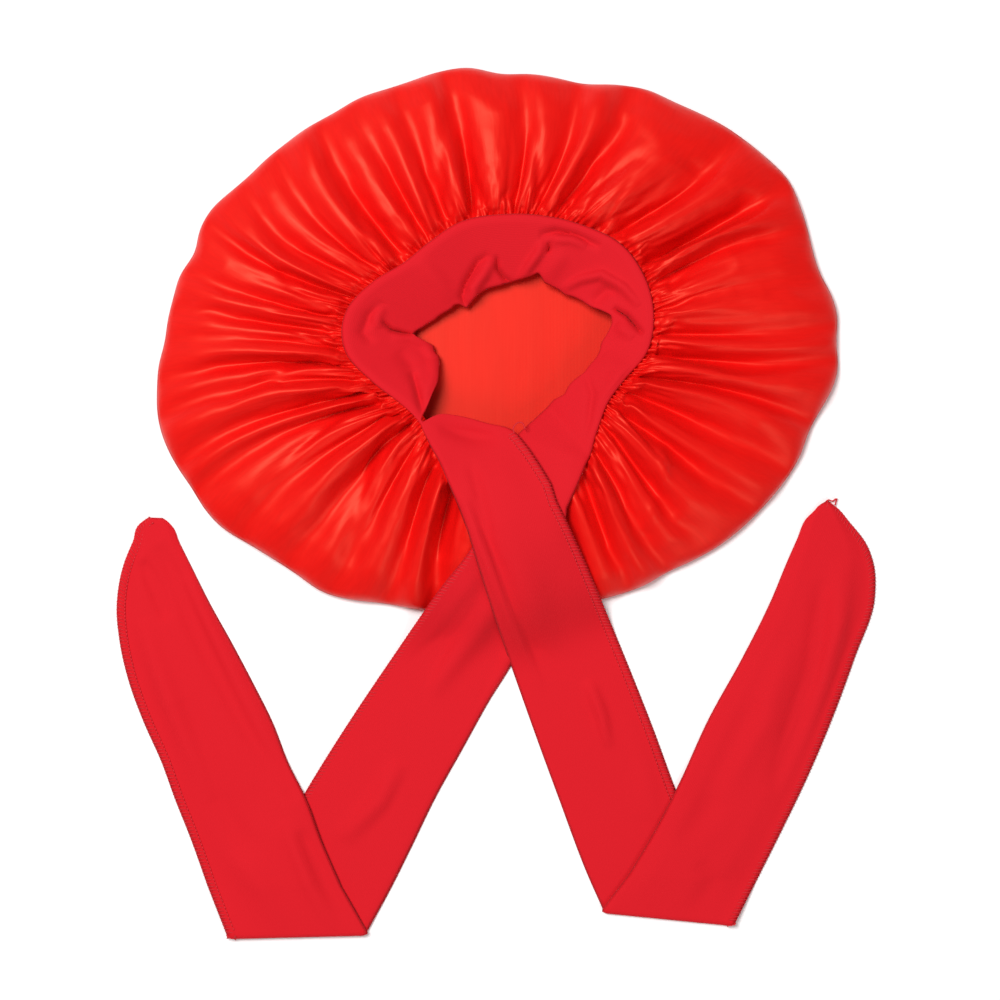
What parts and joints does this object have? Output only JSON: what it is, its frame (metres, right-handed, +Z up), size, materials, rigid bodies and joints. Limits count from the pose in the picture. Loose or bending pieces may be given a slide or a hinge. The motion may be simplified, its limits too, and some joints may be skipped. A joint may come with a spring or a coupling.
{
  "type": "sleep cap",
  "caption": "Satin sleep cap lying open side up: wide gathered crown, folded knit band round the mouth, and long ties crossed and folded in front.",
  "frame": {"origin": "on the surface that the cap lies on, under the middle of the crown", "axes": "+Z up, out of the mouth; +Y from the ties' folded ends towards the back of the crown; +X to the right as seen from above"},
  "size_m": [0.4277, 0.4812, 0.0326],
  "materials": {
    "satin": "glossy woven satin, orange red",
    "knit": "matte fine jersey knit, crimson"
  },
  "bodies": {
    "root": {"crown": "satin", "band": "knit", "tie_over": "knit", "tie_under": "knit"}
  },
  "joints": []
}
